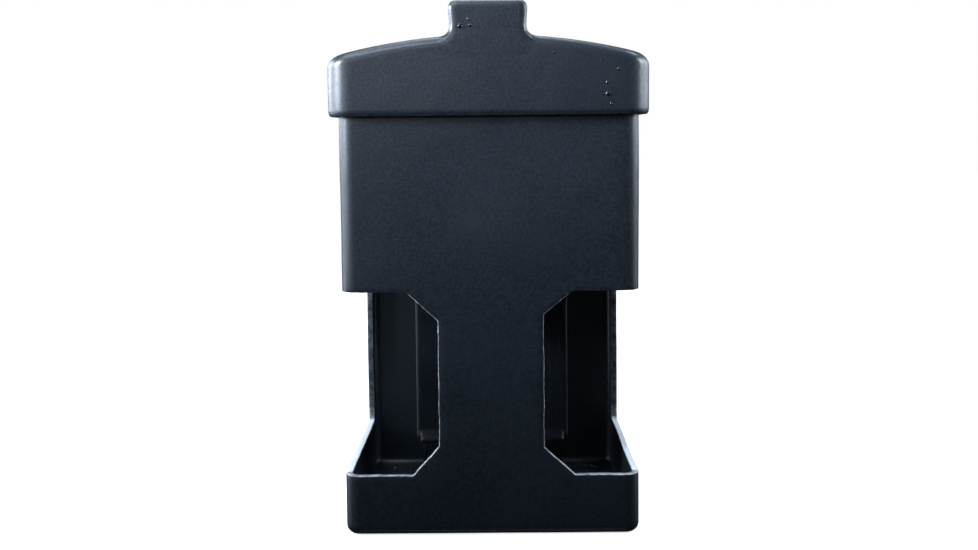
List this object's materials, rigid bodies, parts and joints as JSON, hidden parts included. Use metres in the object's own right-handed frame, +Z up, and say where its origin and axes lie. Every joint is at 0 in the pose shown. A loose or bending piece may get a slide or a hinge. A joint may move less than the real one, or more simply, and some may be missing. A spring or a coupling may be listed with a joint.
{
  "type": "bait station",
  "caption": "Tall moulded hopper bait station with corner feeding windows over an open trough, a drop-in feed funnel and an arched lift-off lid with a grip tab.",
  "frame": {"origin": "on the surface it stands on, under the middle of the station's bounding box", "axes": "+Z up, front face with the column towards -Y, back wall with the mounting holes towards +Y, +X to the right seen from the front"},
  "size_m": [0.2134, 0.1836, 0.3585],
  "materials": {
    "shell": "black polyethylene with a faint blue cast, satin and finely speckled from rotational moulding",
    "lid": "black polyethylene with a faint blue cast, satin and finely speckled from rotational moulding",
    "funnel": "smooth black polyethylene sheet, semi-gloss"
  },
  "bodies": {
    "station": {"station_body": "shell"},
    "lid": {"lid": "lid"},
    "funnel": {"feed_funnel": "funnel"}
  },
  "joints": [
    {"name": "lid_lift", "type": "slide", "parent": "station", "child": "lid", "axis": [0, 0, 1], "range_m": [0, 0.06]},
    {"name": "funnel_lift", "type": "slide", "parent": "station", "child": "funnel", "axis": [0, 0, 1], "range_m": [0, 0.07]}
  ]
}
